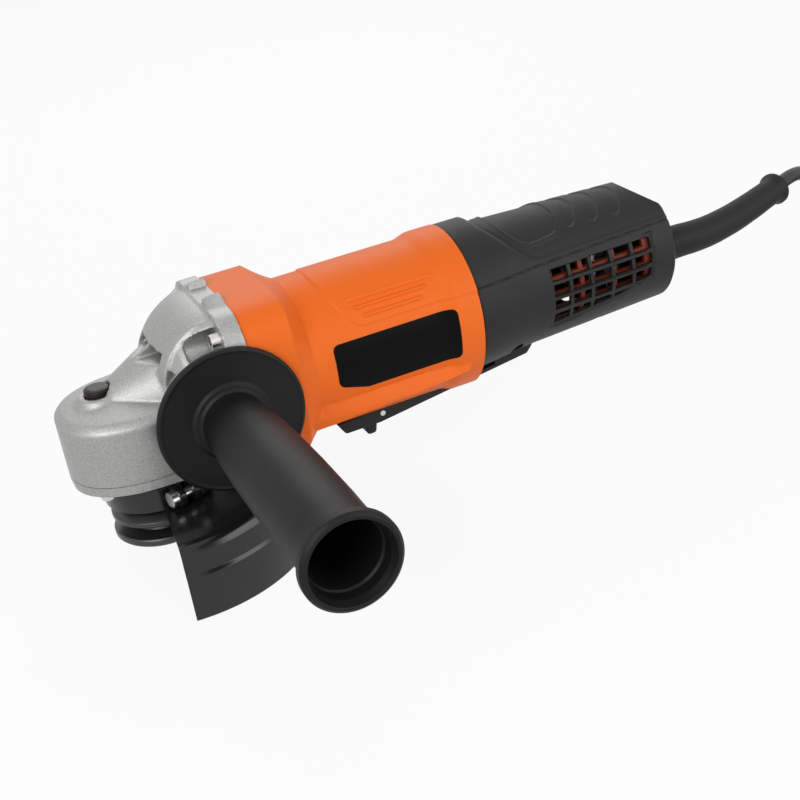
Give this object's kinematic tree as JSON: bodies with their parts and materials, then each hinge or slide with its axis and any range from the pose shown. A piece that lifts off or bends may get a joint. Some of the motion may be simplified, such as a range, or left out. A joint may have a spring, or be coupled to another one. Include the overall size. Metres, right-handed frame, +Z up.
{
  "type": "angle grinder",
  "caption": "Small paddle-switch angle grinder with an open guard, a side handle, a geared spindle with flange and lock nut, and a mains lead with its plug.",
  "frame": {"origin": "the spindle axis at the inner flange's disc seat", "axes": "+X runs back along the motor axis to the rear handle and the lead, +Y is the side opposite the side handle, +Z is up along the spindle, away from the disc"},
  "size_m": [0.5497, 0.2297, 0.1055],
  "materials": {
    "cast_aluminium": "satin",
    "orange_housing": "textured",
    "black_housing": "textured",
    "black_grip": "satin",
    "black_rubber": "matte",
    "black_lead": "satin",
    "guard_paint": "satin",
    "dark_steel": "black oxide",
    "bright_steel": "zinc plated",
    "gear_steel": "machined",
    "bearing_steel": "polished",
    "core_steel": "laminated",
    "copper_wire": "enamelled",
    "bronze": "sintered",
    "holder_brass": "satin",
    "carbon": "matte",
    "ivory_nylon": "satin",
    "inner_plastic": "satin",
    "capacitor_resin": "gloss",
    "louvre_orange": "satin",
    "label_black": "satin",
    "button_black": "satin",
    "plunger_red": "satin",
    "plug_metal": "polished"
  },
  "bodies": {
    "root": {"gear_case": "cast_aluminium", "gear_case_screws": "bright_steel", "bearing_box": "cast_aluminium", "bearing_box_screws": "bright_steel", "spindle_bearing": "bearing_steel", "spindle_top_bush": "bronze", "front_bearing": "bearing_steel", "rear_bearing": "bearing_steel", "motor_housing": "orange_housing", "fan_baffle": "inner_plastic", "stator_core": "core_steel", "stator_windings": "copper_wire", "brush_holders": "holder_brass", "carbon_brushes": "carbon", "brush_springs": "bright_steel", "label_plates": "label_black", "rear_handle_lower": "black_housing", "rear_handle_upper": "black_housing", "handle_screws": "bright_steel", "inlet_louvres": "louvre_orange", "switch_body": "inner_plastic", "capacitor": "capacitor_resin", "cord_clamp": "inner_plastic", "cord_clamp_screws": "bright_steel", "cord_guard": "black_rubber", "paddle_pin": "bright_steel", "power_cord": "black_lead", "cord_coil": "black_lead", "cord_end": "black_lead", "cord_tie": "black_rubber", "plug_body": "black_rubber", "plug_pins": "plug_metal", "lock_button_spring": "bright_steel"},
    "armature": {"armature_shaft": "gear_steel", "armature_core": "core_steel", "armature_windings": "copper_wire", "commutator": "copper_wire", "fan": "ivory_nylon", "pinion": "gear_steel", "pinion_nut": "bright_steel"},
    "spindle_set": {"spindle": "gear_steel", "crown_gear": "gear_steel", "gear_ring": "bright_steel", "inner_flange": "dark_steel"},
    "lock_nut_body": {"lock_nut": "dark_steel"},
    "lock_button_body": {"lock_button": "button_black"},
    "paddle": {"paddle_lever": "black_grip", "lock_off_pin": "bright_steel"},
    "lock_off": {"lock_off_lever": "black_grip"},
    "plunger": {"switch_plunger": "plunger_red"},
    "guard_set": {"guard": "guard_paint", "guard_band": "guard_paint", "guard_clamp_screw": "bright_steel", "guard_clamp_nut": "bright_steel"},
    "side_handle": {"side_handle_grip": "black_grip", "side_handle_stud": "bright_steel"}
  },
  "joints": [
    {"name": "spindle_spin", "type": "hinge", "parent": "root", "child": "spindle_set", "pos_m": [0, 0, 0.03], "axis": [0, 0, 1], "continuous": true},
    {"name": "armature_spin", "type": "hinge", "parent": "root", "child": "armature", "pos_m": [0.09, 0, 0.05], "axis": [1, 0, 0], "continuous": true},
    {"name": "nut_unscrew", "type": "slide", "parent": "spindle_set", "child": "lock_nut_body", "axis": [0, 0, -1], "range_m": [0, 0.025]},
    {"name": "lock_button_press", "type": "slide", "parent": "root", "child": "lock_button_body", "axis": [0, 0, -1], "range_m": [0, 0.0035], "stiffness_N_per_m": 1500, "springref_m": -0.003, "deforming": ["lock_button_spring"]},
    {"name": "guard_turn", "type": "hinge", "parent": "root", "child": "guard_set", "pos_m": [0, 0, 0.0135], "axis": [0, 0, 1], "range_deg": [-100, 100]},
    {"name": "handle_unscrew", "type": "slide", "parent": "root", "child": "side_handle", "axis": [0, -1, 0], "range_m": [0, 0.016]},
    {"name": "paddle_squeeze", "type": "hinge", "parent": "root", "child": "paddle", "pos_m": [0.2, 0, 0.0265], "axis": [0, 1, 0], "range_deg": [0, 2.1], "stiffness_Nm_per_rad": 1, "springref_deg": -5.73},
    {"name": "lock_off_tilt", "type": "hinge", "parent": "paddle", "child": "lock_off", "pos_m": [0.1015, 0, 0.014], "axis": [0, 1, 0], "range_deg": [0, 25], "stiffness_Nm_per_rad": 0.02, "springref_deg": -17.19},
    {"name": "plunger_push", "type": "slide", "parent": "root", "child": "plunger", "axis": [0, 0, 1], "range_m": [0, 0.0013]}
  ],
  "couplings": [
    {"joint": "armature_spin", "follows": "spindle_spin", "ratio": 3.7},
    {"joint": "plunger_push", "follows": "paddle_squeeze", "m_per_rad": 0.032}
  ]
}
